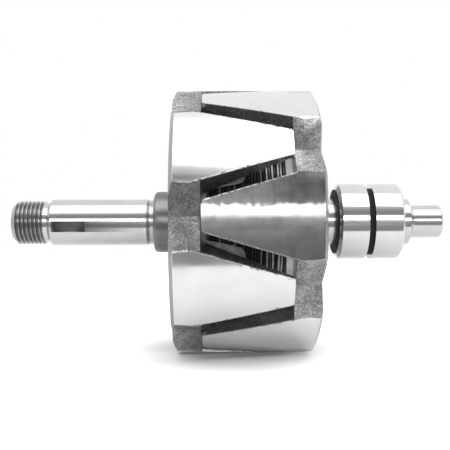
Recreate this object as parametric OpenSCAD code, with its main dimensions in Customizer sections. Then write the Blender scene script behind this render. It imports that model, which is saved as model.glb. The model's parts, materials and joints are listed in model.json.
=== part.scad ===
// Claw-pole rotor of an alternator: a stepped shaft with a threaded, keyed drive end,
// two interleaved pole pieces round a bobbin-wound field coil, and a pair of slip rings.
// The shaft runs along X, drive end at -X, with the origin on its axis at mid-length.

/* [Shaft] */
// Diameter of the drive-end bearing and pulley seat
journal_d = 17; // [15:0.5:20]
// Length of the drive-end seat, from the thread relief to the neck
journal_len = 34.9; // [26:0.1:50]
// Major diameter of the pulley nut thread
thread_d = 16; // [12:0.5:16.5]
// Length of the threaded end
thread_len = 11.5; // [8:0.1:20]
// Chamfer on the first thread
thread_chamfer = 1.8; // [0.5:0.1:2.5]
// Diameter of the thread relief
relief_d = 14.4; // [11:0.1:14.8]
// Width of the thread relief
relief_w = 1.6; // [1:0.1:4]
// Diameter of the grinding neck beside the collar
neck_d = 16.2; // [14:0.1:16.8]
// Width of the grinding neck
neck_w = 2.6; // [1.5:0.1:6]
// Diameter of the press seat inside the pole pieces
core_seat_d = 18; // [17:0.5:24]
// Length of shaft that shows between the poles and the slip rings
ring_gap = 9; // [2:0.1:20]
// Length of shaft that shows past the slip rings
tail_len = 3.5; // [1:0.1:8]
// Length of the cone from there down to the slip-ring-end bearing seat
tail_bevel = 1.3; // [0.5:0.1:3]
// Diameter of the slip-ring-end bearing seat
tail_journal_d = 12; // [8:0.5:14]
// Length of the slip-ring-end bearing seat, with its end chamfer
tail_journal_len = 11.1; // [6:0.1:20]
// Chamfer at the slip-ring end
tail_chamfer = 0.6; // [0.2:0.1:2]
// Diameter of the 60 degree centre hole in each end
centre_d = 5; // [3:0.1:6]
// Diameter and depth of the pilot hole below each centre
pilot_d = 2; // [1:0.1:2.5]

/* [Keyseat] */
// Width of the keyseat
key_w = 4; // [2:0.1:5]
// Diameter of the disc cutter that makes the keyseat
key_cutter_d = 13; // [10:0.5:14]
// Depth of the keyseat below the top of the seat
key_depth = 3.8; // [1:0.1:5]
// Distance of the keyseat's middle from the start of the seat
key_from_end = 6.9; // [6.8:0.1:18]
// Angle of the keyseat above the horizontal
key_angle = -13; // [-180:1:180]

/* [Spacer collar] */
// Outside diameter of the spacer collar
collar_d = 22.6; // [22:0.1:30]
// Length of the spacer collar
collar_len = 7.6; // [5:0.1:20]
// Radius of the collar's outer edge
collar_edge_r = 1.7; // [0.5:0.1:2]

/* [Pole pieces] */
// Outside diameter over the poles
pole_d = 96.2; // [94:0.1:102]
// Length over both pole pieces
pole_len = 50.4; // [46:0.1:60]
// Thickness of each pole disc beside the coil
disc_th = 9.7; // [8:0.1:11]
// Step of the disc's rim between two claws, past the thickness beside the coil
rim_step = 0.4; // [0.2:0.1:1]
// Length of a claw, from its disc's outer face to its tip
claw_len = 40; // [36:0.1:41]
// Half angle of a claw at its root
claw_root_a = 16.6; // [14:0.1:17.5]
// Half angle of a claw at its tip
claw_tip_a = 5.9; // [4:0.1:7]
// Radial thickness of a claw at its tip
claw_tip_th = 1.8; // [1.5:0.1:6]
// Radial thickness of a claw at its root
claw_root_th = 11.5; // [9:0.1:12]
// Corner radius at the tips of the drive-end claws
drive_tip_r = 1.2; // [0.4:0.1:3]
// Corner radius at the tips of the slip-ring-end claws
ring_tip_r = 2.4; // [0.4:0.1:3]
// Depth of the valley between two claws at the outer face
valley_depth = 5.1; // [4:0.1:7]
// Slope of the two sides of a valley
valley_slope = 17; // [10:1:25]
// Draft of a valley along the shaft
valley_draft = 3.5; // [0:0.5:6]
// Depth of the hollow in a valley's edge at the slip-ring end
scoop_depth = 1.3; // [0.5:0.1:2]
// Width of the turned chamfer along the shaft
face_chamfer_w = 1.5; // [0.5:0.1:3]
// Height of the turned chamfer
face_chamfer_h = 2.7; // [0.5:0.1:4]

/* [Field coil] */
// Outside diameter of the field core
core_d = 42; // [36:0.5:48]
// Wall of the bobbin barrel
barrel_th = 1.4; // [0.8:0.1:2.5]
// Thickness of each bobbin flange
flange_th = 2.2; // [1.2:0.1:3]
// Gap between the bobbin's flanges and the roots of the claws
flange_gap = 2.3; // [0.5:0.1:4]
// Diameter of the wire
wire_d = 0.96; // [0.7:0.01:2]
// Thickness of the bobbin's insulating tongues
tongue_th = 1.1; // [0.8:0.1:1.3]
// Depth of a tongue below its flange's rim
tongue_drop = 0.3; // [0.1:0.1:0.5]
// Gap between the tongues and the winding
tongue_gap = 0.4; // [0.2:0.1:3]
// Length of a tongue past its flange
tongue_len = 13; // [6:0.1:13]
// Angle by which a tongue's edge lies inside its claw's edge
tongue_inset_a = 0.9; // [0.5:0.1:4]
// Angle by which the bobbin has turned from the claws
tongue_turn_a = 1.9; // [0:0.1:3]
// Corner radius at the end of a tongue
tongue_r = 3; // [1:0.1:3.5]

/* [Slip rings] */
// Outside diameter of the slip rings
ring_d = 28; // [26:0.1:34]
// Width of each slip ring
ring_w = 10.7; // [7:0.1:16]
// Wall of each slip ring
ring_th = 2.5; // [1.8:0.1:2.8]
// Width of the insulation between the rings
groove_w = 2.1; // [1:0.1:5]
// Depth of the insulation below the rings
groove_depth = 1.6; // [0.2:0.1:1.7]
// Chamfer on the inner ring's edge beside the poles
ring_chamfer = 0.8; // [0.2:0.1:1.2]
// Chamfer on the outer ring's free edge
ring_end_chamfer = 0.9; // [0.5:0.1:1.7]
// Thickness of the insulation's lip beside the poles
lip_w = 0.4; // [0.2:0.1:1.5]
// Depth of that lip below the rings
lip_drop = 0.4; // [0.2:0.1:1]

/* [Hidden] */
$fn = 96;

// A cut reaches this far past the face that it opens
past = 2;
// A round corner's arc ends this far past the tip, so that it meets the tip at a slight angle
blend = 0.1;
// Claws on each pole piece, and the angle from one to the next
claws = 6;
claw_pitch = 360 / claws;

// Places along the shaft, each from the one before it
seat_bevel = (journal_d - relief_d) / 2;
rings_len = 2 * ring_w + groove_w;
overall_len = thread_len + relief_w + seat_bevel + journal_len + neck_w + collar_len + pole_len
    + ring_gap + rings_len + tail_len + tail_bevel + tail_journal_len;
x_end = -overall_len / 2;
x_relief = x_end + thread_len;
x_journal = x_relief + relief_w + seat_bevel;
x_neck = x_journal + journal_len;
x_collar = x_neck + neck_w;
x_drive_face = x_collar + collar_len;
x_ring_face = x_drive_face + pole_len;
x_rings = x_ring_face + ring_gap;
x_groove = x_rings + ring_w;
x_outer_ring = x_groove + groove_w;
x_tail = x_rings + rings_len;
x_tail_bevel = x_tail + tail_len;
x_tail_journal = x_tail_bevel + tail_bevel;
x_tail_end = x_tail_journal + tail_journal_len;

// Radii, and the coil's place between the two pole discs
journal_r = journal_d / 2;
pole_r = pole_d / 2;
ring_r = ring_d / 2;
ring_bore_r = ring_r - ring_th;
valley_r = pole_r - valley_depth;
flange_r = pole_r - claw_root_th - flange_gap;
tongue_top_r = flange_r - tongue_drop;
winding_r = tongue_top_r - tongue_th - tongue_gap;
x_coil = x_drive_face + disc_th;
coil_len = pole_len - 2 * disc_th;
barrel_r = core_d / 2 + barrel_th;
winding_len = coil_len - 2 * flange_th;
turns = floor(winding_len / wire_d);

// Lays a shape that stands on Z along the shaft, its local X facing an angle above the horizontal
module along_shaft(x, angle = 0) {
    translate([x, 0, 0]) rotate([0, 90, 0]) rotate([0, 0, -90 - angle]) children();
}

// A turned piece, from points of [place along the shaft, radius]
module turned(points) {
    along_shaft(0) rotate_extrude() polygon([for (p = points) [p[1], p[0]]]);
}

// A flat outline of [distance along the shaft, sideways distance], drawn out from the shaft to radius r
module drawn_out(points, r) {
    rotate([0, 0, 180]) rotate([0, -90, 0]) linear_extrude(r) polygon(points);
}

// One flank of a claw seen square on, from its root to the round corner at its tip.
// The rows are [distance along the shaft, half angle], for a flank whose mean half angle is mean_a.
function flank_line(r, root, tip, mean_a, corner_r) =
    let (
        a = [root[0], r * sin(root[1] - mean_a)],
        b = [tip[0], r * sin(tip[1] - mean_a)],
        slope = atan2(b[1] - a[1], b[0] - a[0]),
        start = b - corner_r * tan((90 + slope) / 2) * [cos(slope), sin(slope)],
        middle = start + corner_r * [sin(slope), -cos(slope)],
        steps = 5
    )
    concat(
        [a],
        [
            for (i = [0 : steps])
                let (turn = (90 + slope) * (1 - i / steps))
                middle + corner_r * [cos(turn), sin(turn)]
        ]
    );

// The space beside one flank, out to the far side of the gap
module beside_flank(r, root, tip, corner_r) {
    mean_a = (root[1] + tip[1]) / 2;
    line = flank_line(r, root, tip, mean_a, corner_r);
    end = line[len(line) - 1];
    rotate([0, 0, -mean_a])
        drawn_out(concat(line, [[end[0] + past, end[1]], [end[0] + past, r], [root[0], r]]), r + past);
}

// The gap between two neighbouring claws, past the disc
module claw_gap(tip_r) {
    root = [disc_th + rim_step, claw_root_a];
    tip = [claw_len + blend, claw_tip_a];
    intersection() {
        beside_flank(pole_r, root, tip, tip_r);
        rotate([0, 0, -claw_pitch]) mirror([0, 1, 0]) beside_flank(pole_r, root, tip, tip_r);
    }
}

// The shallow valley in the disc's rim between two claws
module valley() {
    rise = pole_r * tan(valley_slope);
    rotate([0, valley_draft, 0]) translate([0, 0, -past]) linear_extrude(disc_th + 3 * past)
        polygon([[valley_r, 0], [valley_r + rise, pole_r], [valley_r + rise, -pole_r]]);
}

// The hollow that the forging leaves in a valley's outer edge
module scoop() {
    reach = pole_r - valley_r + 2 * past;
    half_w = pole_r * sin(claw_pitch / 2 - claw_root_a) * past / scoop_depth;
    translate([valley_r - reach, 0, 0]) rotate([0, 90 - atan(scoop_depth / reach), 0])
        linear_extrude(2 * reach + past) polygon([[0, 0], [past, half_w], [past, -half_w]]);
}

// One pole piece, standing on its outer face: a disc with claws that taper along the coil
module claw_pole(tip_r, hollow) {
    bore_r = core_seat_d / 2;
    difference() {
        rotate_extrude() polygon([
            [bore_r, 0], [pole_r - face_chamfer_h, 0], [pole_r, face_chamfer_w], [pole_r, claw_len],
            [pole_r - claw_tip_th, claw_len], [pole_r - claw_root_th, disc_th], [bore_r, disc_th]
        ]);
        for (i = [0 : claws - 1]) rotate([0, 0, i * claw_pitch]) {
            claw_gap(tip_r);
            rotate([0, 0, -claw_pitch / 2]) valley();
            if (hollow) rotate([0, 0, -claw_pitch / 2]) scoop();
        }
    }
}

// One insulating tongue of the bobbin, under a claw, rooted in the middle of its flange
module tongue() {
    z_root = disc_th + flange_th / 2;
    z_tip = disc_th + flange_th + tongue_len;
    fade = (claw_root_a - claw_tip_a) / (claw_len - disc_th);
    root = [z_root, claw_root_a - tongue_inset_a - fade * (z_root - disc_th)];
    tip = [z_tip, claw_root_a - tongue_inset_a - fade * (z_tip - disc_th)];
    side = flank_line(tongue_top_r, root, tip, 0, tongue_r);
    other_side = [for (i = [len(side) - 1 : -1 : 0]) [side[i][0], -side[i][1]]];
    intersection() {
        rotate_extrude()
            translate([winding_r + tongue_gap, z_root]) square([tongue_th, z_tip - z_root + past]);
        drawn_out(concat(side, other_side), tongue_top_r + past);
    }
}

module shaft() {
    seat_r = core_seat_d / 2;
    thread_r = thread_d / 2;
    relief_r = relief_d / 2;
    tail_r = tail_journal_d / 2;
    cutter_r = key_cutter_d / 2;
    centre_r = centre_d / 2;
    pilot_r = pilot_d / 2;
    cone_len = (centre_r - pilot_r) / tan(30);
    hole_len = cone_len + pilot_d;
    color("silver") difference() {
        turned([
            [x_end + hole_len, 0], [x_end + hole_len, pilot_r], [x_end + cone_len, pilot_r],
            [x_end, centre_r], [x_end, thread_r - thread_chamfer], [x_end + thread_chamfer, thread_r],
            [x_relief, thread_r], [x_relief, relief_r], [x_relief + relief_w, relief_r],
            [x_journal, journal_r], [x_neck, journal_r], [x_neck, neck_d / 2], [x_collar, neck_d / 2],
            [x_collar, journal_r], [x_drive_face, journal_r], [x_drive_face, seat_r], [x_ring_face, seat_r],
            [x_ring_face, journal_r], [x_tail_bevel, journal_r], [x_tail_journal, tail_r],
            [x_tail_end - tail_chamfer, tail_r], [x_tail_end, tail_r - tail_chamfer],
            [x_tail_end, centre_r], [x_tail_end - cone_len, pilot_r],
            [x_tail_end - hole_len, pilot_r], [x_tail_end - hole_len, 0]
        ]);
        along_shaft(x_journal + key_from_end, key_angle) translate([journal_r - key_depth + cutter_r, 0, 0])
            rotate([90, 0, 0]) cylinder(r = cutter_r, h = key_w, center = true);
    }
}

module spacer_collar() {
    r = collar_d / 2;
    e = collar_edge_r;
    color("gray") turned(concat(
        [[x_drive_face, journal_r], [x_collar, journal_r]],
        [for (a = [180 : -15 : 90]) [x_collar + e + e * cos(a), r - e + e * sin(a)]],
        [[x_drive_face, r]]
    ));
}

module drive_end_claw_pole() {
    color("dimgray") along_shaft(x_drive_face, claw_pitch / 2) claw_pole(drive_tip_r, false);
}

module slip_ring_end_claw_pole() {
    color("gray") along_shaft(x_ring_face) mirror([0, 0, 1]) claw_pole(ring_tip_r, true);
}

module field_core() {
    color("slategray") turned([
        [x_coil, core_seat_d / 2], [x_coil, core_d / 2],
        [x_coil + coil_len, core_d / 2], [x_coil + coil_len, core_seat_d / 2]
    ]);
}

module coil_bobbin() {
    core_r = core_d / 2;
    x_far = x_coil + coil_len;
    color("ivory") {
        turned([
            [x_coil, core_r], [x_coil, flange_r],
            [x_coil + flange_th, flange_r], [x_coil + flange_th, barrel_r],
            [x_far - flange_th, barrel_r], [x_far - flange_th, flange_r], [x_far, flange_r], [x_far, core_r]
        ]);
        for (i = [0 : claws - 1]) {
            along_shaft(x_drive_face, (i + 0.5) * claw_pitch + tongue_turn_a) tongue();
            along_shaft(x_ring_face, i * claw_pitch + tongue_turn_a) mirror([0, 0, 1]) tongue();
        }
    }
}

// The wound coil, its outer layer drawn as one ridge for each turn of wire
module field_winding() {
    x_near = x_coil + flange_th;
    pitch = winding_len / turns;
    color("saddlebrown") turned(concat(
        [[x_near + winding_len, barrel_r], [x_near, barrel_r]],
        [
            for (i = [0 : turns - 1], a = [180 : -45 : (i < turns - 1 ? 45 : 0)])
                [x_near + (i + 0.5 + 0.5 * cos(a)) * pitch, winding_r - pitch * (1 - sin(a)) / 2]
        ]
    ));
}

module slip_ring_insulator() {
    lip_r = ring_r - lip_drop;
    rib_r = ring_r - groove_depth;
    color("black") turned([
        [x_rings - lip_w, journal_r], [x_rings - lip_w, lip_r], [x_rings, lip_r], [x_rings, ring_bore_r],
        [x_groove, ring_bore_r], [x_groove, rib_r], [x_outer_ring, rib_r], [x_outer_ring, ring_bore_r],
        [x_tail, ring_bore_r], [x_tail, journal_r]
    ]);
}

module inner_slip_ring() {
    color("lightgray") turned([
        [x_rings, ring_bore_r], [x_rings, ring_r - ring_chamfer], [x_rings + ring_chamfer, ring_r],
        [x_groove, ring_r], [x_groove, ring_bore_r]
    ]);
}

module outer_slip_ring() {
    color("lightgray") turned([
        [x_outer_ring, ring_bore_r], [x_outer_ring, ring_r], [x_tail - ring_end_chamfer, ring_r],
        [x_tail, ring_r - ring_end_chamfer], [x_tail, ring_bore_r]
    ]);
}

shaft();
spacer_collar();
drive_end_claw_pole();
slip_ring_end_claw_pole();
field_core();
coil_bobbin();
field_winding();
slip_ring_insulator();
inner_slip_ring();
outer_slip_ring();
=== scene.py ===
# %% [markdown]
# # Dressing an alternator's claw-pole rotor
# The rotor is a ground shaft with a threaded end, two forged pole pieces whose claws interleave round a
# wound coil, and a pair of slip rings. Its solids come in as a fixed frame, at their real size and place.
# This lesson dresses them. A piece that the lathe made is worked out again as a fine surface with eased
# edges, a forging is copied from its solid and its edges are eased, and every surface gets a finish.

# %% Load the solids
import json
import math

import bmesh
import bpy
import numpy as np
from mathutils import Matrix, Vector

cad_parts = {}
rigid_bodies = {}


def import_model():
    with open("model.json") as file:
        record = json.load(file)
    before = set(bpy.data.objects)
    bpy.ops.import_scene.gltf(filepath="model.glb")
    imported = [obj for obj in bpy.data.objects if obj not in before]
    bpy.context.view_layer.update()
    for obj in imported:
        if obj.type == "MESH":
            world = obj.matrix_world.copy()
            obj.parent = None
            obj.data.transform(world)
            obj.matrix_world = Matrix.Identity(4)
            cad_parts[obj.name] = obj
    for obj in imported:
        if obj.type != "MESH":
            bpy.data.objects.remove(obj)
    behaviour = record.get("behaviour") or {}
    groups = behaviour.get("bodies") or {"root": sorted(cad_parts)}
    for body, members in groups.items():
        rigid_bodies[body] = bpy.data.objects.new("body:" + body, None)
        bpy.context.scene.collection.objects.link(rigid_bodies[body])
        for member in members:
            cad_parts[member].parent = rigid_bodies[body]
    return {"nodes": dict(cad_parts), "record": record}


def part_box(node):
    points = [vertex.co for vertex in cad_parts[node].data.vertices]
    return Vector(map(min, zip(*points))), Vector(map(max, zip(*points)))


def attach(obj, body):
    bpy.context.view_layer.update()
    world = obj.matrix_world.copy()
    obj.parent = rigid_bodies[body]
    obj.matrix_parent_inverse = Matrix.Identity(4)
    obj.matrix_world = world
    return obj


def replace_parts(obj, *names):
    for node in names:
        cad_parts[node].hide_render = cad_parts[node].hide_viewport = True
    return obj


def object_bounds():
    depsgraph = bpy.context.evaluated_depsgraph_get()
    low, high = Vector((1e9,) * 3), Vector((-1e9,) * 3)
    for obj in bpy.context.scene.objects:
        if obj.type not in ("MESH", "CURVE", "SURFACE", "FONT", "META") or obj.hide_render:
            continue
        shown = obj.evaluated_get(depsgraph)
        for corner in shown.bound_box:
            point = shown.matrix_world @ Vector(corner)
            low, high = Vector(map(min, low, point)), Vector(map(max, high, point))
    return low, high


for leftover in list(bpy.data.objects):
    bpy.data.objects.remove(leftover)
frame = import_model()
cad_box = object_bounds()
print("solids:", ", ".join(sorted(frame["nodes"])))

# %% [markdown]
# ## Sizes from the frame
# A surface that is drawn again has to sit where its solid does. So its sizes are read from the solids' own
# boxes, and from the mounts in the record, instead of being typed in twice. Shapes are worked out in
# millimetres, as a drawing is, and turned into Blender's metres when a mesh is made.

# %% Read the sizes
MM = 0.001


def span(node):
    """Where a solid starts and ends along the shaft, and its outer radius, in millimetres."""
    low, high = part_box(node)
    return low.x / MM, high.x / MM, max(high.z, -low.y) / MM


def seat(mount):
    """Where a round seat starts and ends along the shaft, and its radius, from its mount."""
    found = next(m for m in frame["record"]["mounts"] if m["name"] == mount)
    middle, half = found["pos_m"][0] / MM, found["dims"]["length_mm"] / 2
    return middle - half, middle + half, found["dims"]["r_mm"]


drive_face, _, pole_r = span("drive_end_claw_pole")
ring_face = span("slip_ring_end_claw_pole")[1]
floor_z = cad_box[0].z
print(f"poles from {drive_face:.1f} to {ring_face:.1f} mm, radius {pole_r:.1f} mm")

# %% [markdown]
# ## Faces on a grid of points
# Every drawn piece here goes once round the shaft, so it is a grid of points: one row for each point of
# its profile, one column for each angle. The columns always close on themselves. The rows either close too,
# as on a ring, or end on the shaft's axis, as on a bar. Blender's Spin or Screw could carry a profile round
# as well, but on a grid a formula can still move any point, which the thread and the wire need.


# %% Faces of a grid
def grid_faces(rows, columns, rows_close):
    """Quads between neighbours of a grid whose columns close on themselves, and whose rows may."""
    row = np.arange(rows if rows_close else rows - 1)[:, None]
    column = np.arange(columns)[None, :]
    row_after, column_after = (row + 1) % rows, (column + 1) % columns
    corners = (
        row * columns + column,
        row * columns + column_after,
        row_after * columns + column_after,
        row_after * columns + column,
    )
    return np.stack(np.broadcast_arrays(*corners), axis=-1).reshape(-1, 4)


def fan_faces(ring, tip):
    """Triangles from a ring of vertices to one vertex on the axis."""
    return np.stack([ring, np.roll(ring, -1), np.full_like(ring, tip)], axis=-1)


def enclosed_volume(vertices, triangles):
    """A sixth of the sum of each triangle's triple product, above zero where faces point outwards."""
    a, b, c = (vertices[triangles[:, i]] for i in range(3))
    return np.einsum("ij,ij->", a, np.cross(b, c)) / 6


print("a grid of 3 by 4 points that closes both ways has", len(grid_faces(3, 4, True)), "faces")

# %% [markdown]
# ## From a grid to a piece
# A piece is a mesh in the scene that rides on the rotor's one body. Its faces have to point outwards, or
# light falls on them wrongly. Blender can work that out from a mesh, but the sign of the volume that the
# faces enclose tells it at once, and turns them all together. Edges sharper than a set angle stay sharp.

# %% Make pieces
SMOOTH_BELOW = math.radians(35)


def add_piece(name, mesh):
    """Puts a finished mesh in the scene on the rotor's one body, shaded smooth up to its sharp edges."""
    mesh.polygons.foreach_set("use_smooth", np.ones(len(mesh.polygons), bool))
    mesh.set_sharp_from_angle(angle=SMOOTH_BELOW)
    piece = bpy.data.objects.new(name, mesh)
    bpy.context.scene.collection.objects.link(piece)
    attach(piece, "root")
    print(f"{name}: {len(mesh.vertices)} vertices, {len(mesh.polygons)} faces")
    return piece


def piece_from_grid(name, points, axis_ends=None):
    """A closed piece from rows x columns x 3 points in millimetres, with fans to axis_ends on a bar."""
    rows, columns = points.shape[:2]
    quads = grid_faces(rows, columns, axis_ends is None)
    vertices = points.reshape(-1, 3)
    fans = np.zeros((0, 3), int)
    if axis_ends is not None:
        vertices = np.vstack([vertices, axis_ends])
        first, last = np.arange(columns)[::-1], np.arange(columns) + (rows - 1) * columns
        fans = np.vstack([fan_faces(first, rows * columns), fan_faces(last, rows * columns + 1)])
    triangles = np.vstack([quads[:, [0, 1, 2]], quads[:, [0, 2, 3]], fans])
    way = 1 if enclosed_volume(vertices, triangles) > 0 else -1
    mesh = bpy.data.meshes.new(name)
    mesh.from_pydata(vertices * MM, [], quads[:, ::way].tolist() + fans[:, ::way].tolist())
    return add_piece(name, mesh)


def keep_values(piece, name, values):
    """Keeps one number for each vertex on the mesh, for a finish to read."""
    attribute = piece.data.attributes.new(name, "FLOAT", "POINT")
    attribute.data.foreach_set("value", np.asarray(values, np.float32))


print(f"edges that turn by more than {math.degrees(SMOOTH_BELOW):.0f} degrees stay sharp")

# %% [markdown]
# ## Profiles with eased corners
# A turned piece is known by its profile, a list of corners. No real corner is perfectly sharp, and the small
# round on it is what catches a line of light. A Bevel modifier could add it to the finished mesh. Easing the
# profile instead gives each corner its own reach, and the points are then carried round with the rest.

# %% Profiles
ROUND_COLUMNS = 160
SAME_POINT = 1e-6
SIDE_SHARE = 0.4


def eased(corners, reach, steps=4, share=SIDE_SHARE):
    """Eases each corner of an outline into a short parabola that starts and ends at most reach from it.

    A parabola from a to c about the corner b is (1-t)^2 a + 2t(1-t) b + t^2 c. It takes at most the
    given share of a side, so that neighbours don't meet. A reach of 0 keeps a corner sharp.
    """
    corner = np.asarray(corners, float)
    reach = np.broadcast_to(reach, len(corner))[:, None]
    before, after = np.roll(corner, 1, axis=0) - corner, np.roll(corner, -1, axis=0) - corner
    long_before = np.linalg.norm(before, axis=1, keepdims=True)
    long_after = np.linalg.norm(after, axis=1, keepdims=True)
    start = corner + before / long_before * np.minimum(reach, share * long_before)
    end = corner + after / long_after * np.minimum(reach, share * long_after)
    t = np.linspace(0, 1, steps)[None, :, None]
    curve = (1 - t) ** 2 * start[:, None] + 2 * t * (1 - t) * corner[:, None] + t**2 * end[:, None]
    curve = curve.reshape(-1, 2)
    moved = np.linalg.norm(curve - np.roll(curve, 1, axis=0), axis=1) > SAME_POINT
    return curve[moved]


def turned(profile):
    """Points of a profile of [along, radius] carried once round the shaft."""
    angle = np.linspace(0, 2 * np.pi, ROUND_COLUMNS, endpoint=False)
    along, radius = profile[:, 0, None], profile[:, 1, None]
    x = np.broadcast_to(along, (len(profile), ROUND_COLUMNS))
    return np.stack([x, -radius * np.cos(angle), radius * np.sin(angle)], axis=-1)


print("a square with eased corners has", len(eased([[0, 0], [0, 1], [1, 1], [1, 0]], 0.1)), "points")

# %% [markdown]
# ## The shaft's profile
# The real shaft is turned between centres, which leaves a small hole in each end, and then ground. From the
# left it has a thread with a relief behind it, a long seat, a shallow neck, the stretch that carries the
# poles and the rings, and a short seat at the rear. All of that is one outline. The neck is a single corner
# with a long reach, so that it comes out as a curve.

# %% Draw the shaft's profile
RELIEF_R, RELIEF_W = 7.2, 1.6
NECK_CUT = 0.55
TAIL_CONE = 1.3
CENTRE_R, PILOT_R = 2.5, 1.0
CENTRE_HALF_A = math.radians(30)
SHAFT_EDGE = 0.3
EDGE_STEPS = 6

shaft_start, shaft_end, core_seat_r = span("shaft")
thread_start, thread_end, thread_r = seat("pulley_nut_thread")
seat_start, seat_end, seat_r = seat("drive_end_journal")
tail_start, tail_end, tail_r = seat("slip_ring_end_journal")
collar_start = span("spacer_collar")[0]
thread_chamfer, tail_chamfer = thread_start - shaft_start, shaft_end - tail_end
cone_len = (CENTRE_R - PILOT_R) / math.tan(CENTRE_HALF_A)
hole_len = cone_len + 2 * PILOT_R


def draw_shaft_outline():
    """The shaft's outline from the centre hole at one end to the one at the other, edges eased."""
    start = [
        [shaft_start + hole_len, 0], [shaft_start + hole_len, PILOT_R], [shaft_start + cone_len, PILOT_R],
        [shaft_start, CENTRE_R], [shaft_start, thread_r - thread_chamfer], [thread_start, thread_r],
        [thread_end, thread_r], [thread_end, RELIEF_R], [thread_end + RELIEF_W, RELIEF_R],
    ]
    before_neck = [[seat_start, seat_r], [seat_end, seat_r]]
    neck = [(seat_end + collar_start) / 2, seat_r - NECK_CUT]
    middle = [
        [collar_start, seat_r], [drive_face, seat_r], [drive_face, core_seat_r], [ring_face, core_seat_r],
        [ring_face, seat_r],
    ]
    end = [
        [tail_start - TAIL_CONE, seat_r], [tail_start, tail_r], [tail_end, tail_r],
        [shaft_end, tail_r - tail_chamfer], [shaft_end, CENTRE_R], [shaft_end - cone_len, PILOT_R],
        [shaft_end - hole_len, PILOT_R], [shaft_end - hole_len, 0],
    ]
    corners = start + before_neck + [neck] + middle + end
    reach = np.full(len(corners), SHAFT_EDGE)
    reach[[0, -1]] = 0
    reach[len(start + before_neck)] = collar_start - seat_end
    return eased(corners, reach, EDGE_STEPS)


shaft_outline = draw_shaft_outline()
print(f"shaft: {len(shaft_outline)} points in its outline, {shaft_end - shaft_start:.1f} mm long")

# %% [markdown]
# ## Thread and keyseat
# A die or a lathe tool cuts the thread, and a disc cutter sinks the keyseat. In Blender a Screw modifier
# and a boolean cut could do the same, but they leave seams and thin faces. Here both are formulas on the
# shaft's own grid: the thread lowers the radius with a trapezoid wave that climbs one pitch a turn, and the
# keyseat presses points down to the floor that its cutter leaves. Rows lie closer together where that is
# needed.

# %% Formulas for the thread and the keyseat
THREAD_PITCH = 1.5
THREAD_DEPTH = 0.61 * THREAD_PITCH
ROOT_SHARE, CREST_SHARE = 0.25, 0.125
KEY_W, KEY_DEPTH, KEY_CUTTER_R = 4.0, 3.8, 6.5
KEY_FROM_SEAT = 6.9
KEY_ANGLE = math.radians(-13)
THREAD_STEP, KEY_STEP = 0.1, 0.25

key_middle = seat_start + KEY_FROM_SEAT


def denser(profile, start, end, spacing):
    """The same outline with points at most spacing apart wherever it lies between two places."""
    side = np.linalg.norm(np.diff(profile, axis=0), axis=1)
    run = np.concatenate([[0], np.cumsum(side)])
    fine = np.arange(0, run[-1], spacing)
    place = np.interp(fine, run, profile[:, 0])
    run_all = np.union1d(run, fine[(place > start) & (place < end)])
    return np.stack([np.interp(run_all, run, profile[:, i]) for i in range(2)], axis=-1)


def thread_radius(along, angle):
    """A 60 degree thread: flat crests, flat roots and straight flanks, a wave that climbs a pitch a turn."""
    phase = (along - shaft_start) / THREAD_PITCH + angle / (2 * np.pi)
    from_root = np.abs(2 * (phase % 1) - 1)
    height = np.clip((from_root - ROOT_SHARE) / (1 - CREST_SHARE - ROOT_SHARE), 0, 1)
    return np.where(along < thread_end + THREAD_STEP, thread_r - THREAD_DEPTH * (1 - height), np.inf)


def keyseat_floor(along):
    """The keyseat's floor over the axis: an arc of the cutter's radius, deepest in the middle."""
    from_middle = np.clip(np.abs(along - key_middle), 0, KEY_CUTTER_R)
    return seat_r - KEY_DEPTH + KEY_CUTTER_R - np.sqrt(KEY_CUTTER_R**2 - from_middle**2)


shaft_outline = denser(shaft_outline, shaft_start - 1, thread_end, THREAD_STEP)
shaft_outline = denser(shaft_outline, key_middle - KEY_CUTTER_R, key_middle + KEY_CUTTER_R, KEY_STEP)
print(f"keyseat {keyseat_floor(key_middle):.1f} mm over the axis; {len(shaft_outline)} points in the outline")

# %% [markdown]
# ## The shaft as one grid
# The outline and both formulas meet here. The grid is worked out with the keyseat's middle at angle 0, where
# its walls are easy to describe, and then turned to where the keyseat lies. A ground surface shines and a
# milled or threaded one is dull, so each vertex also keeps a number for how roughly it was cut. In the
# keyseat that number also darkens the recess, partly for its milled floor and partly as painted shade.

# %% Draw the shaft
SHAFT_COLUMNS = 168
WALL_CLEAR, WALL_WIDTH = 0.012, 0.001
# The keyseat's value darkens it, partly for its duller milled floor and partly as painted shade in the
# recess.
KEY_DULL_AND_SHADE, NECK_DULL, THREAD_DULL, ROOT_DULL = 0.78, 0.3, 0.35, 0.5


def shaft_columns(wall):
    """Angles from the keyseat's middle, evenly spread but for two columns close together at each wall."""
    angle = np.linspace(-np.pi, np.pi, SHAFT_COLUMNS, endpoint=False)
    angle = angle[np.abs(np.abs(angle) - wall) > WALL_CLEAR]
    return np.union1d(angle, [-wall, WALL_WIDTH - wall, wall - WALL_WIDTH, wall])


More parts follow.
